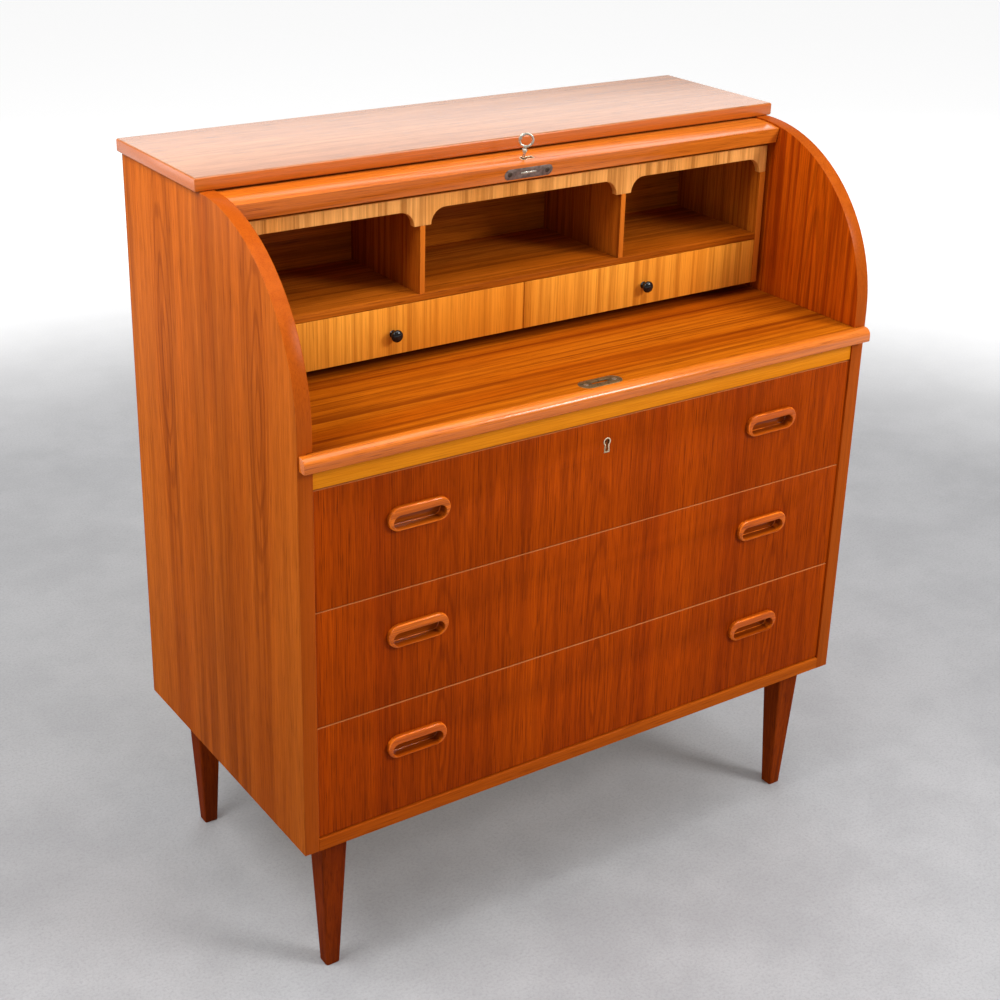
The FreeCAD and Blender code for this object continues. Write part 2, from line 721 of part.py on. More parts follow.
def drawer_lock(high, face, face_back):
    """The top drawer's lock. Returns what is cut out of the drawer's front for it."""
    key_z = base + cell("key_high")
    middle = Size.of(0)
    lock_half, bolt_side = cell("drawer_lock_half"), cell("drawer_bolt_half")
    bolt_deep = cell("drawer_bolt_thick") / 2
    bolt_low = high - cell("drawer_bolt_long")
    case_front = bolt_y - cell("drawer_lock_front")
    blank = box(
        "drawer_lock_blank", (-lock_half, lock_half), (case_front, face_back),
        (key_z - cell("drawer_lock_drop"), high),
    )
    bolt_room = box(
        "drawer_bolt_room",
        (-bolt_side - slip, bolt_side + slip),
        (bolt_y - bolt_deep - slip, bolt_y + bolt_deep + slip),
        (bolt_low - cell("drawer_bolt_spare"), high),
    )
    key_room_ends = (case_front, face_back - cell("drawer_bolt_spare"))
    key_room = rod("drawer_key_room", "y", (middle, key_z), cell("drawer_bit_room"), key_room_ends)
    sub_part("drawer_lock", cut("drawer_lock", blank, bolt_room, key_room))
    sub_part("drawer_bolt", box(
        "drawer_bolt", (-bolt_side, bolt_side), (bolt_y - bolt_deep, bolt_y + bolt_deep), (bolt_low, high),
    ))
    insert_front, insert_back = face - cell("hole_proud"), face + cell("hole_sunk")
    rim = cell("hole_rim")
    plug = prism("keyhole_plug", "y", keyhole(middle, key_z), insert_front, insert_back)
    eye = prism("keyhole_eye", "y", keyhole(middle, key_z, rim), insert_front, insert_back)
    sub_part("keyhole_insert", cut("keyhole_insert", plug, eye))
    passage = prism("keyhole_passage", "y", keyhole(middle, key_z, rim), insert_back, case_front)
    return [blank, plug, passage]


for number, word in enumerate(("bottom", "middle", "top")):
    large_drawer(word, number)

# ---------------------------------------------------------------- writing board
nose_back = front - slip
nose_top = board_top
nose_low = nose_top - cell("nose_high")
nose_front = front - cell("nose_reach")
curve, edge = cell("nose_round"), cell("nose_edge")
sub_part("board_moulding", prism("board_moulding", "x", [
    (nose_front + edge, nose_low, (nose_front + edge, nose_low + edge), True),
    (nose_back, nose_low),
    (nose_back, nose_top),
    (nose_front + curve, nose_top),
    (nose_front, nose_top - curve, (nose_front + curve, nose_top - curve), True),
    (nose_front, nose_low + edge),
], -half_width + cell("nose_short"), half_width - cell("nose_short")))
board_blank = box(
    "writing_board_blank",
    (-inner - cell("tongue"), inner + cell("tongue")),
    (nose_back, front + cell("board_long")),
    (board_low, board_top),
)
strike_y = front + cell("strike_behind")
lock_x = -cell("lock_x")
strike_outline = stadium(lock_x, strike_y, cell("strike_half"), cell("strike_round"))
strike_blank = prism("strike_blank", "z", strike_outline, board_top - cell("strike_thick"), board_top)
strike_side = cell("bolt_half") + cell("strike_side")
slot_y = strike_y + cell("strike_slot_back")
strike_hole = box(
    "strike_hole",
    (lock_x - strike_side, lock_x + strike_side),
    (slot_y - cell("strike_slot"), slot_y + cell("strike_slot")),
    (board_top - cell("strike_deep"), board_top),
)
sub_part("strike_plate", cut("strike_plate", strike_blank, strike_hole))
sub_part("writing_board", cut("writing_board", board_blank, strike_blank, strike_hole))

# ---------------------------------------------------------------- roll front, in the frame of its pivot
roll_outer = cell("roll_outer")
shell_inner = roll_outer - cell("shell_thick")
rail_inner = roll_outer - cell("rail_thick")
roll_half = inner - cell("roll_end_gap")


def polar(radius, angle):
    """The (y, z) of a point at an angle behind the roll's front face."""
    return radius * sine(angle), radius * cosine(angle)


def sector(name, inside, outside, near, far, x):
    centre = (Size.of(0), Size.of(0))
    return prism(name, "x", [
        polar(inside, near),
        (*polar(inside, far), centre, False),
        polar(outside, far),
        (*polar(outside, near), centre, True),
    ], *x)


across = (-roll_half, roll_half)
rail_end, roll_end = cell("rail_angle"), cell("roll_angle")
sub_part("roll_shell", sector("shell", shell_inner, roll_outer, rail_end, roll_end, across), in_roll=True)


def cheek(word, sign):
    outside = roll_half - cell("cheek_gap")
    x = mirrored(sign, outside - cell("cheek_thick"), outside)
    centre = (Size.of(0), Size.of(0))
    near, far = rail_end, roll_end - cell("cheek_short")
    plate = prism(f"cheek_plate_{word}", "x", [
        (Size.of(0), Size.of(0)),
        polar(shell_inner, far),
        (*polar(shell_inner, near), centre, True),
    ], *x)
    hub = rod(f"cheek_hub_{word}", "x", centre, cell("hub_radius"), x)
    hole = rod(f"cheek_hole_{word}", "x", centre, cell("pin_radius") + cell("pin_fit"), x)
    return cut(f"cheek_{word}", fuse(f"cheek_blank_{word}", plate, hub), hole)


sub_part("roll_cheeks", *[cheek(word, sign) for word, sign in SIDES], in_roll=True)

lock_radius = roll_outer - cell("lock_sunk")
key_x, key_y = -cell("key_left"), cell("key_back")
key_spot = (key_x, key_y)
bolt_half = cell("bolt_half")
bolt_deep = cell("bolt_thick") / 2
proud = cell("plate_proud")
face_plate = prism(
    "face_plate_blank", "y", stadium(lock_x, lock_radius, cell("plate_half"), cell("plate_round")),
    -proud, cell("face_plate"),
)
bit_room_ends = (lock_radius - cell("bit_room_half"), lock_radius + cell("bit_room_half"))
bolt_way = box(
    "bolt_way", (lock_x - bolt_half - slip, lock_x + bolt_half + slip),
    (-proud, key_y - cell("bolt_way_short")),
    (lock_radius - bolt_deep - slip, lock_radius + bolt_deep + slip),
)
case_blank = box(
    "lock_case_blank",
    (lock_x - cell("lock_width") / 2, lock_x + cell("lock_width") / 2),
    (cell("face_plate"), cell("lock_deep")),
    (lock_radius - cell("lock_thick") / 2, lock_radius + cell("lock_thick") / 2),
)
bit_room = rod("bit_room", "z", key_spot, cell("bit_room"), bit_room_ends)
key_way_ends = (bit_room_ends[0], roll_outer + cell("scutcheon_thick"))
key_way = prism("key_way", "z", lying_keyhole(*key_spot, cell("hole_rim")), *key_way_ends)
plate_level = roll_outer - cell("scutcheon_sunk")
escutcheon_blank = prism(
    "escutcheon_blank", "z", lying_keyhole(*key_spot), plate_level, plate_level + cell("scutcheon_thick"),
)
sub_part("lock_plate", cut("lock_plate_cut", face_plate, bolt_way), in_roll=True)
sub_part("lock_case", cut("lock_case_cut", case_blank, bolt_way, bit_room, key_way), in_roll=True)
sub_part("escutcheon", cut("escutcheon_cut", escutcheon_blank, key_way), in_roll=True)
rail_blank = sector("rail_blank", rail_inner, roll_outer, Size.of(0), rail_end, across)
recess = prism(
    "escutcheon_recess", "z", lying_keyhole(*key_spot), plate_level, roll_outer + cell("scutcheon_thick"),
)
sub_part("roll_rail", cut("roll_rail_cut", rail_blank, face_plate, case_blank, key_way, recess), in_roll=True)
sub_part("lock_bolt", box(
    "bolt_bar", (lock_x - bolt_half, lock_x + bolt_half), (-proud, cell("bolt_long")),
    (lock_radius - bolt_deep, lock_radius + bolt_deep),
), in_roll=True)


def key():
    """A barrel key with a bit, a collar and a ring bow that is turned towards the person at the desk."""
    bit_half = cell("key_bit_half")
    stem_top = roll_outer + cell("key_reach")
    bit_deep = cell("key_bit_thick") / 2
    overlap = cell("bow_overlap")
    collar_low = stem_top - cell("collar_drop")
    stem = rod("key_stem", "z", key_spot, cell("key_stem"), (lock_radius - bit_half, stem_top + overlap))
    collar_ends = (collar_low, collar_low + cell("collar_high"))
    collar = rod("key_collar", "z", key_spot, cell("key_collar"), collar_ends)
    bit = box(
        "key_bit", (key_x, key_x + cell("key_bit")), (key_y - bit_deep, key_y + bit_deep),
        (lock_radius - bit_half, lock_radius + bit_half),
    )
    ring = doc.addObject("Part::Torus", "key_bow")
    bind(ring, "Radius1", cell("key_ring"))
    bind(ring, "Radius2", cell("key_wire"))
    facing = FreeCAD.Rotation(Z_AXIS, -cell("key_facing").value)
    ring.Placement.Rotation = facing.multiply(FreeCAD.Rotation(X_AXIS, 90))
    put(ring, key_x, key_y, stem_top + cell("key_ring") + cell("key_wire") - overlap)
    return fuse("key_solid", stem, collar, bit, ring)


sub_part("key", key(), in_roll=True)

# ---------------------------------------------------------------- checks and files
doc.recompute()
broken = [o.Name for o in doc.Objects if {"Invalid", "Error"} & set(o.State)]
if broken:
    raise SystemExit(f"these objects did not build: {broken}")
for name, node in NODES.items():
    if node.Shape.isNull() or not node.Shape.isValid() or not node.Shape.Solids:
        raise SystemExit(f"{name} has no valid solid")
os.makedirs("parts", exist_ok=True)
for name, node in NODES.items():
    node.Shape.exportStep(f"parts/{name}.step")
    print(f"{name:28s} solids {len(node.Shape.Solids)}  volume {node.Shape.Volume / 1000:9.1f} cm3")
print(len(NODES), "sub-parts")
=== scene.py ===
"""Looks for the roll-front secretary desk. All lengths are in metres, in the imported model's own frame."""
import json
import math

import bmesh
import bpy
from mathutils import Matrix, Vector

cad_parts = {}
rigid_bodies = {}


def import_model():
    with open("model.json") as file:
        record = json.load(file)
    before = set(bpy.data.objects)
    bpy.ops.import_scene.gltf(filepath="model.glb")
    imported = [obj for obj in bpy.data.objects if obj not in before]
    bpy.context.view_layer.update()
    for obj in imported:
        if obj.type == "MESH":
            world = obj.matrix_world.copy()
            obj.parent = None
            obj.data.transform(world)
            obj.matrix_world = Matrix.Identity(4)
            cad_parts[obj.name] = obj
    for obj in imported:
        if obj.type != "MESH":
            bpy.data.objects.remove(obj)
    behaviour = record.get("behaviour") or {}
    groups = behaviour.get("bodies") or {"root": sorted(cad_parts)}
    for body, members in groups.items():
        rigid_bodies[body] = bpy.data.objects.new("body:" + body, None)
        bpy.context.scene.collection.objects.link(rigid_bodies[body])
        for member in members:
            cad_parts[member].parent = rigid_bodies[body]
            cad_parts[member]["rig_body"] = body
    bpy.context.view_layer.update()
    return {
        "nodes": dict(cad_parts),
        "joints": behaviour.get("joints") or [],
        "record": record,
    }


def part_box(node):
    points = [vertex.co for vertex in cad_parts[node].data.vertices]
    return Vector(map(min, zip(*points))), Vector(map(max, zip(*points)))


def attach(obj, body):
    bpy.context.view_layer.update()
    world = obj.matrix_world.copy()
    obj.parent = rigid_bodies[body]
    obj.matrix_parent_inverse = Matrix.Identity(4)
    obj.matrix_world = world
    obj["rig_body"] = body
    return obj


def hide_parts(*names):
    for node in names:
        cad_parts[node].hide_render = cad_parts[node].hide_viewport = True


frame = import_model()
NODES = frame["nodes"]
JOINTS = {joint["name"]: joint for joint in frame["joints"]}
SLOT_OF = {part["node"]: part["material_slot"] for part in frame["record"]["subparts"]}
MM = 0.001

# ---------------------------------------------------------------- camera
# The view fitted to the photo. Angles are in degrees, and the shift is in widths of the sensor.
CAMERA_PLACE = Vector((-1.2408, -1.7629, 1.5034))
CAMERA_YAW, CAMERA_PITCH, CAMERA_ROLL = 34.146, -22.572, 1.343
SENSOR = 36.0
LENS_PER_SENSOR = 1.7007
CAMERA_SHIFT = (0.0200, -0.0738)


def camera():
    data = bpy.data.cameras.new("view")
    data.sensor_width = SENSOR
    data.lens = LENS_PER_SENSOR * SENSOR
    data.shift_x, data.shift_y = CAMERA_SHIFT
    made = bpy.data.objects.new("view", data)
    bpy.context.scene.collection.objects.link(made)
    turn = Matrix.Rotation(-math.radians(CAMERA_YAW), 4, "Z")
    tilt = Matrix.Rotation(math.radians(90 + CAMERA_PITCH), 4, "X")
    roll = Matrix.Rotation(math.radians(CAMERA_ROLL), 4, "Z")
    made.matrix_world = Matrix.Translation(CAMERA_PLACE) @ turn @ tilt @ roll
    bpy.context.scene.camera = made


# ---------------------------------------------------------------- node building
AXES = {"x": 0, "y": 1, "z": 2}


def scaled(color, factor):
    return tuple(min(1.0, factor * c) for c in color)


class Paint:
    """One material's node tree. Each method adds a node and returns the socket that carries its result."""

    def __init__(self, name):
        self.material = bpy.data.materials.new(name)
        self.material.use_nodes = True
        self.tree = self.material.node_tree
        self.shader = next(n for n in self.tree.nodes if n.type == "BSDF_PRINCIPLED")
        self.coordinates = self.tree.nodes.new("ShaderNodeTexCoord")
        self.place = self.coordinates.outputs["Object"]

    def node(self, kind, inputs=(), **settings):
        made = self.tree.nodes.new(kind)
        for name, value in settings.items():
            setattr(made, name, value)
        for socket, value in dict(inputs).items():
            self.feed(made.inputs[socket], value)
        return made

    def feed(self, socket, value):
        if isinstance(value, bpy.types.NodeSocket):
            self.tree.links.new(value, socket)
        else:
            socket.default_value = value

    def math(self, operation, first, second=0.0):
        return self.node("ShaderNodeMath", {0: first, 1: second}, operation=operation).outputs[0]

    def stretched(self, scale):
        """Object coordinates, in metres, times a factor for each axis."""
        return self.node("ShaderNodeMapping", {0: self.place, "Scale": scale}).outputs[0]

    def split(self):
        return list(self.node("ShaderNodeSeparateXYZ", {0: self.place}).outputs)

    def book_match(self, axis, width, seam):
        """Mirrors every later pattern at veneer seams that are width apart. Returns 0 or 1 for each leaf."""
        parts = self.split()
        index = AXES[axis]
        past_seam = self.math("SUBTRACT", parts[index], seam)
        parts[index] = self.math("PINGPONG", past_seam, width)
        self.place = self.node("ShaderNodeCombineXYZ", dict(enumerate(parts))).outputs[0]
        leaf = self.math("FLOOR", self.math("DIVIDE", past_seam, width))
        return self.math("PINGPONG", leaf, 1.0)

    def noise(self, scale, detail, rough, distortion=0.0):
        inputs = {"Vector": self.stretched(scale), "Scale": 1.0, "Detail": detail}
        inputs.update({"Roughness": rough, "Distortion": distortion})
        return self.node("ShaderNodeTexNoise", inputs).outputs[0]

    def between(self, value, low, high, out_low=0.0, out_high=1.0):
        inputs = {0: value, 1: low, 2: high, 3: out_low, 4: out_high}
        return self.node("ShaderNodeMapRange", inputs, interpolation_type="SMOOTHSTEP").outputs[0]

    def blend(self, amount, first, second):
        made = self.node("ShaderNodeMix", data_type="RGBA", blend_type="MIX")
        for socket, value in ((made.inputs[0], amount), (made.inputs[6], first), (made.inputs[7], second)):
            if isinstance(value, tuple) and len(value) == 3:
                value = (*value, 1.0)
            self.feed(socket, value)
        return made.outputs[2]

    def normal_parts(self):
        """How much the surface faces along X, Y and Z, each from 0 to 1."""
        normal = self.coordinates.outputs["Normal"]
        parts = self.node("ShaderNodeSeparateXYZ", {0: normal}).outputs
        return [self.math("ABSOLUTE", part) for part in parts]

    def rounded_edges(self):
        """1 on eased edges, where the surface faces none of the three axes squarely."""
        x, y, z = self.normal_parts()
        squarest = self.math("MAXIMUM", self.math("MAXIMUM", x, y), z)
        return self.between(squarest, 0.80, 0.97, 1.0, 0.0)

    def finish(self, color, rough, bump, bump_depth, bump_strength=1.0, **shader):
        self.feed(self.shader.inputs["Base Color"], color)
        self.feed(self.shader.inputs["Roughness"], rough)
        inputs = {"Height": bump, "Distance": bump_depth, "Strength": bump_strength}
        self.feed(self.shader.inputs["Normal"], self.node("ShaderNodeBump", inputs).outputs[0])
        for name, value in shader.items():
            self.shader.inputs[name.replace("_", " ")].default_value = value
        return self.material


def along(axis, across_scale, grain_scale):
    """Factors for each axis that draw a pattern out along the grain."""
    return tuple(grain_scale if i == AXES[axis] else across_scale for i in range(3))


# ---------------------------------------------------------------- wood
# How closely each pattern is drawn, in features per metre, across the grain and along it.
TONES = (9.0, 0.8)
LINING_RIBBONS = (95.0, 1.3)
HAIRLINES = (760.0, 12.0)
PORES = (1050.0, 22.0)
BANDS_ALONG = 0.9
GRAIN_RELIEF = 0.12 * MM
# The flat-sawn figure. Distance along the grain counts OVAL_SHARE as much, which draws its rings into ovals.
RING_GAP = 8.5 * MM
OVAL_SHARE = 0.11
OVAL_WOBBLE = 30 * MM


def wood(
    name, grain, dark, middle, light, stripe, stripe_width=0.016, figure=None, leaves=None, lining=None,
    hair=0.50, pores=0.6, rough=0.40, coat=0.07, coat_rough=0.27, edge=None, edge_axis=None, recess_shade=None,
    edge_wear_and_highlight=0.15,
):
    """Wood with its grain along an axis.

    All the gloss is the coat's. leaves is (axis, leaf width, seam) of book-matched veneer. figure is (across
    axis, its centre, height of the middle, reach, strength) of a flat-sawn oval. lining is (how far out it
    ends, dark, middle) of a striped veneer on the faces nearest the middle of the desk. edge is the colour of
    the solid lipping. recess_shade is (Y where it starts, Y where it is full) of the painted shade that
    darkens a carved recess, where shadow falls.
    """
    paint = Paint(name)
    plain_x = paint.split()[0]
    leaf = paint.book_match(*leaves) if leaves else None
    tone = paint.noise(along(grain, *TONES), 2.0, 0.5, 0.4)
    color = paint.blend(paint.between(tone, 0.30, 0.70), middle, light)
    bands = paint.noise(along(grain, 1 / stripe_width, BANDS_ALONG), 4.0, 0.62, 0.25)
    dark_bands = paint.between(bands, 0.40, 0.68)
    color = paint.blend(paint.math("MULTIPLY", dark_bands, stripe), color, dark)
    if lining:
        outer, lining_dark, lining_middle = lining
        ribbons = paint.between(paint.noise(along(grain, *LINING_RIBBONS), 3.0, 0.6), 0.38, 0.64)
        striped = paint.blend(ribbons, lining_middle, lining_dark)
        inside = paint.between(paint.math("ABSOLUTE", plain_x), outer - MM, outer + MM, 1.0, 0.0)
        color = paint.blend(inside, color, striped)
    if figure:
        color = paint.blend(figure_lines(paint, grain, figure), color, dark)
    if leaf:
        color = paint.blend(paint.math("MULTIPLY", leaf, 0.16), color, dark)
    fine = paint.noise(along(grain, *HAIRLINES), 5.0, 0.70)
    color = paint.blend(paint.between(fine, 0.36, 0.70, 0.0, hair), color, dark)
    pore = paint.noise(along(grain, *PORES), 2.0, 0.5)
    pore_lines = paint.between(pore, 0.57, 0.72)
    color = paint.blend(paint.math("MULTIPLY", pore_lines, pores), color, scaled(dark, 0.45))
    if edge:
        faces = paint.normal_parts()[AXES[edge_axis]]
        lipping = paint.between(faces, 0.55, 0.85, 1.0, 0.0)
        streaks = paint.between(fine, 0.40, 0.72, 0.0, 0.55)
        color = paint.blend(lipping, color, paint.blend(streaks, edge, scaled(edge, 0.5)))
    # Painted shade: the colour darkens deeper into a carved recess, where shadow falls.
    if recess_shade:
        deep = paint.between(paint.split()[1], recess_shade[0], recess_shade[1], 0.0, 0.62)
        color = paint.blend(deep, color, scaled(dark, 0.6))
    # Eased edges lighten in patches: partly real wear, partly a painted highlight along the rounded arrises.
    rub_and_highlight_noise = paint.noise((60.0, 60.0, 60.0), 3.0, 0.6)
    worn_and_highlit_edges = paint.math("MULTIPLY", paint.rounded_edges(), paint.between(rub_and_highlight_noise, 0.35, 0.7, 0.1, 1.0))
    color = paint.blend(paint.math("MULTIPLY", worn_and_highlit_edges, edge_wear_and_highlight), color, scaled(light, 1.4))
    patchy = paint.noise((5.0, 5.0, 5.0), 3.0, 0.6)
    sheen_change = paint.between(patchy, 0.3, 0.7, rough - 0.05, rough + 0.07)
    surface = paint.math("ADD", sheen_change, paint.math("MULTIPLY", fine, 0.08))
    height = paint.math("SUBTRACT", paint.math("MULTIPLY", fine, 0.5), pore_lines)
    return paint.finish(
        color, surface, height, GRAIN_RELIEF, 0.55, Coat_Weight=coat, Coat_Roughness=coat_rough,
        Specular_IOR_Level=0.0,
    )


def figure_lines(paint, grain, figure):
    """Nested long ovals, as a plain-sawn board shows, fading out away from their centre."""
    across, centre, middle, reach, strength = figure
    parts = paint.split()
    sideways = paint.math("SUBTRACT", parts[AXES[across]], centre)
    lengthways = paint.math("SUBTRACT", parts[AXES[grain]], middle)
    drawn_out = paint.math("MULTIPLY", lengthways, OVAL_SHARE)
    squares = paint.math(
        "ADD", paint.math("MULTIPLY", sideways, sideways), paint.math("MULTIPLY", drawn_out, drawn_out),
    )
    wobble = paint.noise(along(grain, 14.0, 2.4), 3.0, 0.6)
    radius = paint.math("ADD", paint.math("SQRT", squares), paint.math("MULTIPLY", wobble, OVAL_WOBBLE))
    rings = paint.math("SINE", paint.math("MULTIPLY", radius, 2 * math.pi / RING_GAP))
    lines = paint.between(rings, 0.1, 1.0)
    fade = paint.between(radius, reach * 0.5, reach, 1.0, 0.0)
    return paint.math("MULTIPLY", paint.math("MULTIPLY", lines, fade), strength)


# ---------------------------------------------------------------- metal and lacquer
def metal(name, bright, dull, tarnish, rough):
    """Metal with cloudy tarnish and fine scratches along X."""
    paint = Paint(name)
    cloudy = paint.noise((170.0, 170.0, 170.0), 4.0, 0.62, 0.3)
    spots = paint.math("MULTIPLY", paint.between(cloudy, 0.40, 0.66), tarnish)
    color = paint.blend(spots, bright, dull)
    scratches = paint.noise(along("x", 5200.0, 130.0), 2.0, 0.6)
    clouded = paint.between(cloudy, 0.35, 0.7, rough, rough + 0.22)
    surface = paint.math("ADD", clouded, paint.math("MULTIPLY", scratches, 0.10))
    return paint.finish(color, surface, scratches, 0.00002, 0.35, Metallic=1.0)


def lacquer(name, color, sheen):
    """Glossy lacquer with a faint orange peel."""
    paint = Paint(name)
    cloudy = paint.noise((260.0, 260.0, 260.0), 3.0, 0.6)
    shade = paint.blend(paint.between(cloudy, 0.35, 0.7), color, sheen)
    orange_peel = paint.noise((900.0, 900.0, 900.0), 2.0, 0.5)
    surface = paint.between(cloudy, 0.3, 0.7, 0.07, 0.14)
    return paint.finish(shade, surface, orange_peel, 0.00002, 0.2, Specular_IOR_Level=0.3)


# Veneer seams and leaf widths. The lining ends inside each side panel, halfway through its thickness.
SIDE_SEAM, SIDE_LEAF = 0.001, 0.2285
SIDE_FIGURE, SIDE_FIGURE_HIGH = 0.129, 0.768
FRONT_SEAM, FRONT_LEAF = -0.121, 0.276
FRONT_FIGURE, FRONT_FIGURE_HIGH = 0.123, 0.30
FIGURE_REACH = 0.060
SIDE_LOW, SIDE_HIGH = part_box("side_right")
LINING_OUTER = (SIDE_LOW.x + SIDE_HIGH.x) / 2
# The pulls' recesses get painted shade: the colour darkens between these two depths behind their front face.
PULL_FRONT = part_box("top_drawer_pulls")[0].y
PULL_RECESS_SHADE = (PULL_FRONT + 1.6 * MM, PULL_FRONT + 7.6 * MM)
MATERIALS = {
    "side": wood(
        "teak_side", "z", (0.150, 0.023, 0.001), (0.430, 0.080, 0.004), (0.540, 0.124, 0.010), stripe=0.60,
        stripe_width=0.024, leaves=("y", SIDE_LEAF, SIDE_SEAM),
        figure=("y", SIDE_FIGURE, SIDE_FIGURE_HIGH, FIGURE_REACH, 0.40),
        lining=(LINING_OUTER, (0.300, 0.032, 0.001), (0.620, 0.094, 0.002)), edge=(0.360, 0.064, 0.004),
        edge_axis="x", coat=0.08,
    ),
    "top": wood(
        "teak_top", "x", (0.180, 0.060, 0.018), (0.350, 0.130, 0.045), (0.430, 0.175, 0.065), stripe=0.34,
        rough=0.34, coat=0.85, hair=0.75, pores=0.8, edge=(0.460, 0.100, 0.006), edge_axis="z",
    ),
    "front": wood(
        "teak_front", "z", (0.110, 0.011, 0.001), (0.350, 0.041, 0.001), (0.450, 0.062, 0.001), stripe=0.38,
        stripe_width=0.015, figure=("x", FRONT_FIGURE, FRONT_FIGURE_HIGH, FIGURE_REACH, 0.35),
        leaves=("x", FRONT_LEAF, FRONT_SEAM), hair=0.62, pores=0.55, rough=0.42, coat=0.05,
        edge=(0.640, 0.230, 0.070), edge_axis="y",
    ),
    "board": wood(
        "teak_board", "x", (0.150, 0.020, 0.001), (0.330, 0.056, 0.001), (0.490, 0.122, 0.004), stripe=0.85,
        stripe_width=0.012, rough=0.34, coat=0.12,
    ),
    "solid_x": wood(
        "teak_solid_x", "x", (0.280, 0.049, 0.003), (0.560, 0.122, 0.007), (0.710, 0.185, 0.016), stripe=0.38,
        rough=0.32, coat=0.75, coat_rough=0.20,
    ),
    "bottom_rail": wood(
        "teak_bottom_rail", "x", (0.180, 0.026, 0.001), (0.400, 0.070, 0.003), (0.500, 0.105, 0.006),
        stripe=0.35, rough=0.40,
    ),
    "roll": wood(
        "teak_roll", "x", (0.220, 0.035, 0.003), (0.440, 0.090, 0.008), (0.540, 0.135, 0.016), stripe=0.45,
        stripe_width=0.009, rough=0.36,
    ),
    "leg": wood(
        "teak_leg", "z", (0.062, 0.006, 0.001), (0.190, 0.022, 0.001), (0.265, 0.037, 0.001), stripe=0.45,
        stripe_width=0.008, rough=0.38, coat=0.08,
    ),
    # The pull's strong edge lightening is mostly a painted highlight on its arris, and its recess gets
    # painted shade.
    "pull": wood(
        "teak_pull", "x", (0.210, 0.026, 0.001), (0.540, 0.090, 0.003), (0.700, 0.150, 0.007), stripe=0.42,
        stripe_width=0.006, rough=0.28, coat=0.45, coat_rough=0.10, recess_shade=PULL_RECESS_SHADE, edge_wear_and_highlight=0.9,
    ),
    "ribbon": wood(
        "ribbon_veneer", "z", (0.360, 0.088, 0.005), (0.700, 0.215, 0.015), (0.860, 0.340, 0.036),
        stripe=0.66, stripe_width=0.0085, pores=0.3, hair=0.30,
    ),
    "apron": wood(
        "ribbon_apron", "z", (0.330, 0.110, 0.016), (0.740, 0.285, 0.055), (0.880, 0.410, 0.115), stripe=0.80,
        stripe_width=0.009, pores=0.3, hair=0.30, edge=(0.700, 0.280, 0.050), edge_axis="y",
    ),
    "inner_x": wood(
        "teak_inner_x", "x", (0.130, 0.021, 0.001), (0.420, 0.092, 0.004), (0.560, 0.145, 0.010), stripe=0.62,
        stripe_width=0.011, rough=0.42, coat=0.04,
    ),
    "inner_z": wood(
        "teak_inner_z", "z", (0.160, 0.024, 0.001), (0.450, 0.096, 0.004), (0.600, 0.165, 0.012), stripe=0.68,
        stripe_width=0.011, rough=0.42, coat=0.04, edge=(0.560, 0.140, 0.012), edge_axis="x",
    ),
    "amber": wood(
        "amber_rail", "x", (0.480, 0.115, 0.003), (0.720, 0.225, 0.006), (0.840, 0.300, 0.014), stripe=0.25,
        pores=0.15, rough=0.36,
    ),
    "beech_y": wood(
        "beech_y", "y", (0.36, 0.21, 0.10), (0.56, 0.37, 0.20), (0.66, 0.47, 0.28), stripe=0.2, pores=0.25,
        rough=0.5, coat=0.0, edge_wear_and_highlight=0.1,
    ),
    "beech_x": wood(
        "beech_x", "x", (0.36, 0.21, 0.10), (0.56, 0.37, 0.20), (0.66, 0.47, 0.28), stripe=0.2, pores=0.25,
        rough=0.5, coat=0.0, edge_wear_and_highlight=0.1,
    ),
    "ply_x": wood(
        "plywood_x", "x", (0.30, 0.16, 0.07), (0.48, 0.29, 0.14), (0.60, 0.39, 0.21), stripe=0.3,
        stripe_width=0.04, rough=0.55, coat=0.0, edge_wear_and_highlight=0.1,
    ),
    "ply_z": wood(
        "plywood_z", "z", (0.30, 0.16, 0.07), (0.48, 0.29, 0.14), (0.60, 0.39, 0.21), stripe=0.3,
        stripe_width=0.04, rough=0.55, coat=0.0, edge_wear_and_highlight=0.1,
    ),
    "brass": metal("aged_brass", (0.30, 0.22, 0.11), (0.11, 0.075, 0.038), 0.85, 0.38),
    "rim": metal("rubbed_brass", (0.86, 0.72, 0.50), (0.30, 0.21, 0.10), 0.6, 0.22),
    "plate": metal("dulled_steel", (0.240, 0.185, 0.160), (0.110, 0.078, 0.065), 0.7, 0.42),
    "steel": metal("nickel_plated", (0.62, 0.58, 0.50), (0.24, 0.20, 0.13), 0.62, 0.16),
    "screw": metal("screw_steel", (0.62, 0.56, 0.46), (0.22, 0.17, 0.11), 0.5, 0.26),
    "dark_screw": metal("dull_screw", (0.110, 0.075, 0.055), (0.050, 0.032, 0.022), 0.6, 0.45),
    "black": lacquer("black_lacquer", (0.006, 0.005, 0.005), (0.012, 0.011, 0.010)),
}


# ---------------------------------------------------------------- meshes
def piece(name, bm, body, material, slot, *replaced):
    """Makes an object from a bmesh, lets it ride on its body and hides the CAD parts that it replaces."""
    mesh = bpy.data.meshes.new(name)
    bmesh.ops.recalc_face_normals(bm, faces=bm.faces)
    bm.to_mesh(mesh)
    bm.free()
    mesh.materials.append(MATERIALS[material])
    made = bpy.data.objects.new(name, mesh)
    bpy.context.scene.collection.objects.link(made)
    mesh.shade_smooth()
    mesh.set_sharp_from_angle(angle=math.radians(32))
    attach(made, body)
    if replaced:
        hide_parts(*replaced)


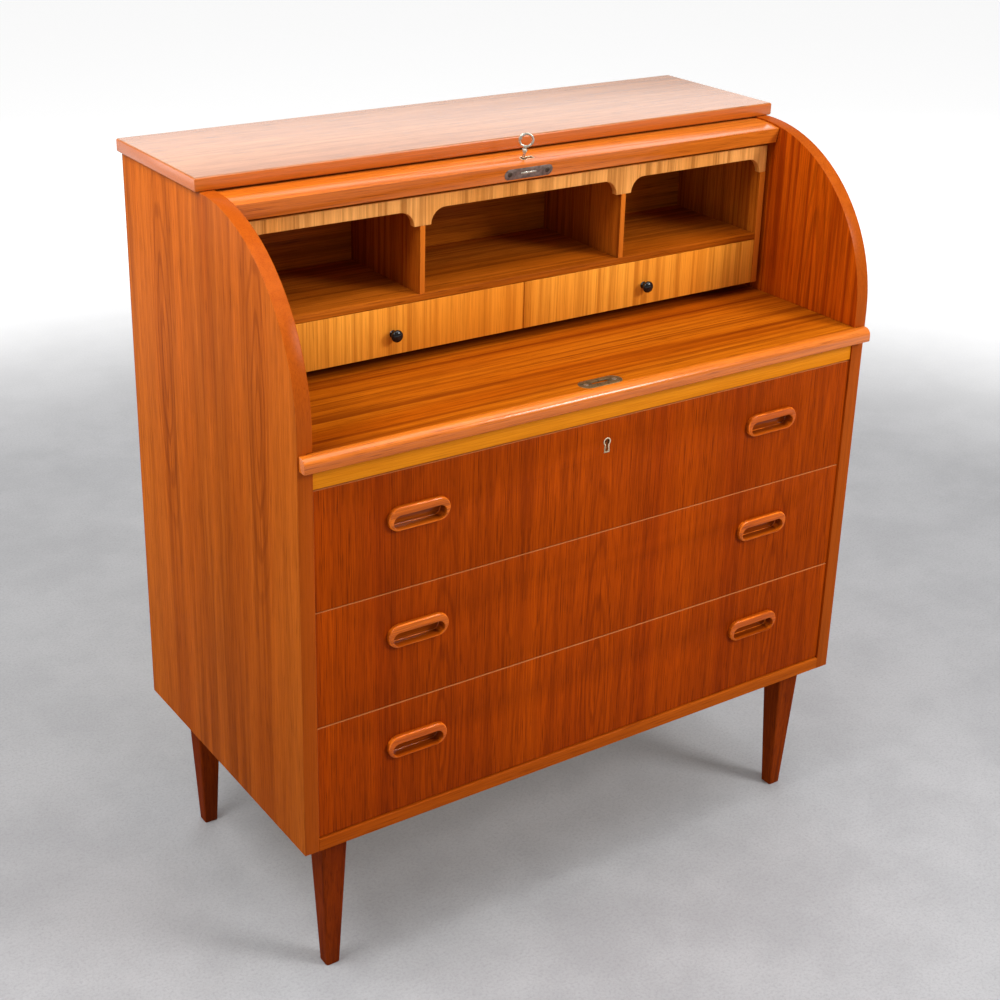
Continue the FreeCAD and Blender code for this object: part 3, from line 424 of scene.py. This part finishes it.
def dressed(node, material, ease):
    """A CAD node's own shape with its sharp edges eased, as a sanded and finished piece has them."""
    bm = bmesh.new()
    bm.from_mesh(NODES[node].data)
    bmesh.ops.remove_doubles(bm, verts=bm.verts, dist=1e-6)
    flat = math.radians(0.3)
    bmesh.ops.dissolve_limit(bm, angle_limit=flat, verts=bm.verts, edges=bm.edges)
    corner = math.radians(38)
    sharp = [e for e in bm.edges if len(e.link_faces) == 2 and e.calc_face_angle() > corner]
    bmesh.ops.bevel(
        bm, geom=sharp, offset=ease, segments=3, profile=0.5, affect="EDGES", clamp_overlap=True,
    )
    piece(f"{node}_finished", bm, NODES[node]["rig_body"], material, SLOT_OF[node], node)


def turned(bm, outline, place, segments=48):
    """Adds a lathe-turned solid.

    outline is (radius, height) from one end to the other, and place is a 4 x 4 matrix.
    """
    rings = []
    for radius, height in outline:
        ring = []
        for i in range(segments if radius > 0 else 1):
            angle = 2 * math.pi * i / segments
            spot = Vector((radius * math.cos(angle), radius * math.sin(angle), height))
            ring.append(bm.verts.new(place @ spot))
        rings.append(ring)
    for low, high in zip(rings, rings[1:]):
        for i in range(segments):
            j = i + 1
            corners = [low[i % len(low)], low[j % len(low)], high[j % len(high)], high[i % len(high)]]
            bm.faces.new(list(dict.fromkeys(corners)))
    for end in (rings[0], rings[-1]):
        if len(end) > 1:
            bm.faces.new(end)


def facing(direction, place):
    """A matrix whose Z looks along direction, at place."""
    return Matrix.Translation(place) @ Vector(direction).to_track_quat("Z", "Y").to_matrix().to_4x4()


def slotted_screw(bm, place, radius, high, slot_turn):
    """Adds a domed screw head whose slot is real: two half discs standing on a thinner full disc."""
    steps, slot_half = 14, radius * 0.13
    turn = place @ Matrix.Rotation(slot_turn, 4, "Z")
    turned(bm, [(0, 0), (radius * 0.97, 0), (radius * 0.97, high * 0.45), (0, high * 0.45)], turn, 32)
    reach = math.acos(slot_half / radius)
    for side in (1, -1):
        levels = []
        for share, level in ((1.0, 0.1 * high), (1.0, 0.6 * high), (0.90, 0.9 * high), (0.72, high)):
            ring = []
            for i in range(steps + 1):
                angle = math.pi / 2 + reach * (2 * i / steps - 1)
                across, up = radius * math.cos(angle) * share, radius * math.sin(angle) * share
                ring.append(bm.verts.new(turn @ Vector((across, side * max(up, slot_half), level))))
            levels.append(ring)
        for low, high_ring in zip(levels, levels[1:]):
            for i in range(steps + 1):
                j = (i + 1) % (steps + 1)
                bm.faces.new([low[i], low[j], high_ring[j], high_ring[i]])
        bm.faces.new(levels[0])
        bm.faces.new(levels[-1])


# ---------------------------------------------------------------- the case and everything plain in it
def case_pieces():
    for side in ("left", "right"):
        dressed(f"side_{side}", "side", 1.1 * MM)
        dressed(f"unit_side_{side}", "inner_z", 0.5 * MM)
        for row in ("front", "back"):
            dressed(f"leg_{row}_{side}", "leg", 0.6 * MM)
    # Each node's material, and how far its edges are eased in millimetres.
    looks = {
        "top_panel": ("top", 0.7), "bottom_rail": ("bottom_rail", 0.8), "board_rail": ("amber", 0.8),
        "unit_apron": ("apron", 0.9), "unit_shelf": ("inner_x", 0.6), "unit_dividers": ("inner_z", 0.5),
        "unit_base": ("inner_x", 0.3), "unit_partition": ("inner_z", 0.3), "unit_back": ("inner_x", 0.2),
        "unit_cover": ("inner_x", 0.2), "back_panel": ("ply_z", 0.4), "bottom_panel": ("ply_x", 0.4),
        "back_rail": ("beech_x", 0.5), "drawer_runners": ("beech_y", 0.5), "unit_bearers": ("inner_x", 0.4),
        "roll_stops": ("beech_x", 0.5), "leg_plates": ("steel", 0.3), "roll_pivot_pins": ("steel", 0.2),
    }
    for node, (material, ease) in looks.items():
        dressed(node, material, ease * MM)


def drawer_pieces():
    for word in ("bottom", "middle", "top"):
        dressed(f"{word}_drawer_front", "front", 0.8 * MM)
        dressed(f"{word}_drawer_tray", "beech_y", 0.5 * MM)
        dressed(f"{word}_drawer_bottom", "ply_x", 0.3 * MM)
        dressed(f"{word}_drawer_pulls", "pull", 0.7 * MM)
    dressed("keyhole_insert", "rim", 0.3 * MM)
    dressed("drawer_lock", "steel", 0.3 * MM)
    dressed("drawer_bolt", "steel", 0.3 * MM)
    for side in ("left", "right"):
        name = f"small_drawer_{side}"
        dressed(f"{name}_front", "ribbon", 0.6 * MM)
        dressed(f"{name}_tray", "beech_y", 0.4 * MM)
        dressed(f"{name}_bottom", "ply_x", 0.2 * MM)
        knob(name)


def knob(drawer):
    """A black mushroom knob: a shallow dome with a rolled rim on a waisted stem."""
    low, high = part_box(f"{drawer}_knob")
    radius, long = (high.x - low.x) / 2, high.y - low.y
    shares = [
        (0.62, 0.0), (0.56, 0.05), (0.46, 0.14), (0.43, 0.28), (0.46, 0.42), (0.62, 0.52), (0.88, 0.57),
        (0.97, 0.62), (1.0, 0.69), (0.98, 0.76), (0.90, 0.84), (0.74, 0.915), (0.52, 0.965), (0.27, 0.992),
        (0, 1.0),
    ]
    place = facing((0, -1, 0), Vector(((low.x + high.x) / 2, high.y, (low.z + high.z) / 2)))
    bm = bmesh.new()
    turned(bm, [(radius * wide, long * up) for wide, up in shares], place)
    piece(f"{drawer}_knob_turned", bm, drawer, "black", "black_lacquer", f"{drawer}_knob")


def board_pieces():
    dressed("writing_board", "board", 0.7 * MM)
    dressed("board_moulding", "solid_x", 0.9 * MM)
    dressed("strike_plate", "brass", 0.25 * MM)
    low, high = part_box("strike_plate")
    middle_y, foot_z = (low.y + high.y) / 2, high.z - 0.6 * MM
    bm = bmesh.new()
    for x, turn in ((low.x + 10 * MM, 0.5), (high.x - 10 * MM, 1.9)):
        slotted_screw(bm, facing((0, 0, 1), Vector((x, middle_y, foot_z))), 3.6 * MM, 0.8 * MM, turn)
    piece("strike_plate_screws", bm, "board", "screw", "bright_steel")


# ---------------------------------------------------------------- roll front, lock and key
def roll_pieces():
    dressed("roll_shell", "roll", 0.5 * MM)
    dressed("roll_rail", "solid_x", 1.2 * MM)
    dressed("roll_cheeks", "ply_z", 0.3 * MM)
    dressed("lock_plate", "plate", 0.25 * MM)
    dressed("lock_case", "steel", 0.3 * MM)
    dressed("escutcheon", "rim", 0.3 * MM)
    dressed("lock_bolt", "steel", 0.35 * MM)
    low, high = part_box("lock_plate")
    outward = Vector(JOINTS["bolt_throw"]["axis"]).normalized()
    face = (low + high) / 2 + outward * 0.7 * MM
    bm = bmesh.new()
    for x, turn in ((low.x + 8.2 * MM, 0.9), (high.x - 8.2 * MM, 2.6)):
        slotted_screw(bm, facing(outward, Vector((x, face.y, face.z))), 3.4 * MM, 0.7 * MM, turn)
    piece("lock_plate_screws", bm, "roll", "dark_screw", "bright_steel")


CUSPS = (128, 166)
CUSP_SHARPNESS = 90
CUSP_DEPTH = 1.6 * MM
BOW_TURN = 28
BOW_SUNK = 1.2 * MM
WIRE_FLATNESS = 0.72


def key():
    """A ring-bowed key: a bow with small inner cusps, a ball and collar, a slim stem and its bit."""
    joint = JOINTS["key_turn"]
    axis = Vector(joint["axis"]).normalized()
    up = Matrix.Translation(Vector(joint["pos_m"])) @ Matrix.Rotation(math.acos(axis.z), 4, "X")
    stem, stem_foot, stem_top = 2.0 * MM, -3.0 * MM, 26.8 * MM
    ring, wire = 8.6 * MM, 1.7 * MM
    bm = bmesh.new()
    turned(bm, [
        (0, stem_foot), (stem, stem_foot), (stem, 19.2 * MM), (2.7 * MM, 19.6 * MM), (2.7 * MM, 20.0 * MM),
        (2.1 * MM, 20.4 * MM), (3.0 * MM, 21.0 * MM), (3.6 * MM, 22.2 * MM), (3.3 * MM, 23.4 * MM),
        (2.2 * MM, 24.3 * MM), (2.0 * MM, 25.0 * MM), (2.5 * MM, 26.0 * MM), (0, stem_top),
    ], up, 32)
    bow_centre = Matrix.Translation((0, 0, stem_top + ring + wire - BOW_SUNK))
    bow_turn = Matrix.Rotation(-math.radians(BOW_TURN), 4, "Z") @ Matrix.Rotation(math.radians(90), 4, "X")
    turn_to_face = up @ bow_centre @ bow_turn
    around, wire_steps = 96, 16
    rings = []
    for i in range(around):
        angle = 2 * math.pi * i / around
        cusp = sum(max(0.0, math.cos(angle - math.radians(place))) ** CUSP_SHARPNESS for place in CUSPS)
        loop = []
        for j in range(wire_steps):
            spin = 2 * math.pi * j / wire_steps
            inward = max(0.0, -math.cos(spin)) * cusp * CUSP_DEPTH
            out = ring + wire * math.cos(spin) - inward
            deep = WIRE_FLATNESS * wire * math.sin(spin)
            spot = Vector((out * math.cos(angle), out * math.sin(angle), deep))
            loop.append(bm.verts.new(turn_to_face @ spot))
        rings.append(loop)
    for i, loop in enumerate(rings):
        following = rings[(i + 1) % around]
        for j in range(wire_steps):
            k = (j + 1) % wire_steps
            bm.faces.new([loop[j], loop[k], following[k], following[j]])
    bit = [(x, y, z) for x in (0.5 * MM, 9.5 * MM) for y in (-MM, MM) for z in (-3 * MM, 3 * MM)]
    spots = [bm.verts.new(up @ Vector(corner)) for corner in bit]
    for side in ((0, 1, 3, 2), (4, 6, 7, 5), (0, 4, 5, 1), (2, 3, 7, 6), (0, 2, 6, 4), (1, 5, 7, 3)):
        bm.faces.new([spots[i] for i in side])
    piece("key_detailed", bm, "key", "steel", "bright_steel", "key")


# ---------------------------------------------------------------- surroundings
FLOOR_HALF = 14.0
FADE_FROM, FADE_TO = 1.5, 3.4
FAR_GLOW = 0.55


def floor():
    """A plain floor, grey near the desk and near white further out, where it also glows as a painted bright
    backdrop.
    """
    half = FLOOR_HALF
    bm = bmesh.new()
    corners = ((-half, -half), (half, -half), (half, half), (-half, half))
    bm.faces.new([bm.verts.new((x, y, 0)) for x, y in corners])
    mesh = bpy.data.meshes.new("floor")
    bm.to_mesh(mesh)
    bm.free()
    made = bpy.data.objects.new("floor", mesh)
    bpy.context.scene.collection.objects.link(made)
    paint = Paint("pale_floor")
    x, y, _ = paint.split()
    away = paint.math("SQRT", paint.math("ADD", paint.math("MULTIPLY", x, x), paint.math("MULTIPLY", y, y)))
    far = paint.between(away, FADE_FROM, FADE_TO)
    cloudy = paint.noise((4.0, 4.0, 4.0), 9.0, 0.70)
    grit = paint.noise((240.0, 240.0, 240.0), 5.0, 0.75)
    near_shade = paint.blend(paint.between(cloudy, 0.35, 0.65), (0.35, 0.35, 0.36), (0.41, 0.41, 0.42))
    near_shade = paint.blend(paint.between(grit, 0.42, 0.72, 0.0, 0.4), near_shade, (0.20, 0.20, 0.21))
    shade = paint.blend(far, near_shade, (0.90, 0.90, 0.90))
    # The far floor glows though it is no lamp: painted light for a bright backdrop.
    paint.feed(paint.shader.inputs["Emission Color"], (1.0, 1.0, 1.0, 1.0))
    paint.feed(paint.shader.inputs["Emission Strength"], paint.math("MULTIPLY", far, FAR_GLOW))
    mesh.materials.append(paint.finish(shade, paint.between(cloudy, 0.3, 0.7, 0.6, 0.75), grit, 0.0005))


# Each lamp: its place, its size, its power in watts and the point that it faces.
LAMPS = {
    "overhead": ((0.4, -0.7, 2.9), (2.0, 1.8), 36, (0, 0, 0.6)),
    "left": ((-1.25, -0.1, 1.95), (0.8, 0.8), 26, (-0.44, 0, 1.0)),
    "left_back": ((-2.6, 2.4, 1.1), (2.0, 1.6), 30, (-0.44, 0, 0.9)),
    "front_right": ((1.7, -2.4, 2.3), (0.9, 0.9), 68, (0, 0, 0.6)),
    "behind": ((1.6, 3.4, 2.5), (4.6, 2.2), 62, (0, 0, 1.0)),
}
WORLD_STRENGTH = 0.42


def lamp(name, place, size, power, target):
    data = bpy.data.lights.new(name, "AREA")
    data.shape = "RECTANGLE"
    data.size, data.size_y = size
    data.energy = power
    made = bpy.data.objects.new(name, data)
    bpy.context.scene.collection.objects.link(made)
    direction = Vector(target) - Vector(place)
    made.matrix_world = Matrix.Translation(place) @ direction.to_track_quat("-Z", "Y").to_matrix().to_4x4()


def lights():
    for name, (place, size, power, target) in LAMPS.items():
        lamp(name, place, size, power, target)
    world = bpy.data.worlds.new("studio")
    bpy.context.scene.world = world
    world.use_nodes = True
    background = world.node_tree.nodes["Background"]
    background.inputs["Color"].default_value = (1.0, 1.0, 1.0, 1.0)
    background.inputs["Strength"].default_value = WORLD_STRENGTH
    bpy.context.scene.view_settings.view_transform = "Standard"


camera()
case_pieces()
drawer_pieces()
board_pieces()
roll_pieces()
key()
floor()
lights()
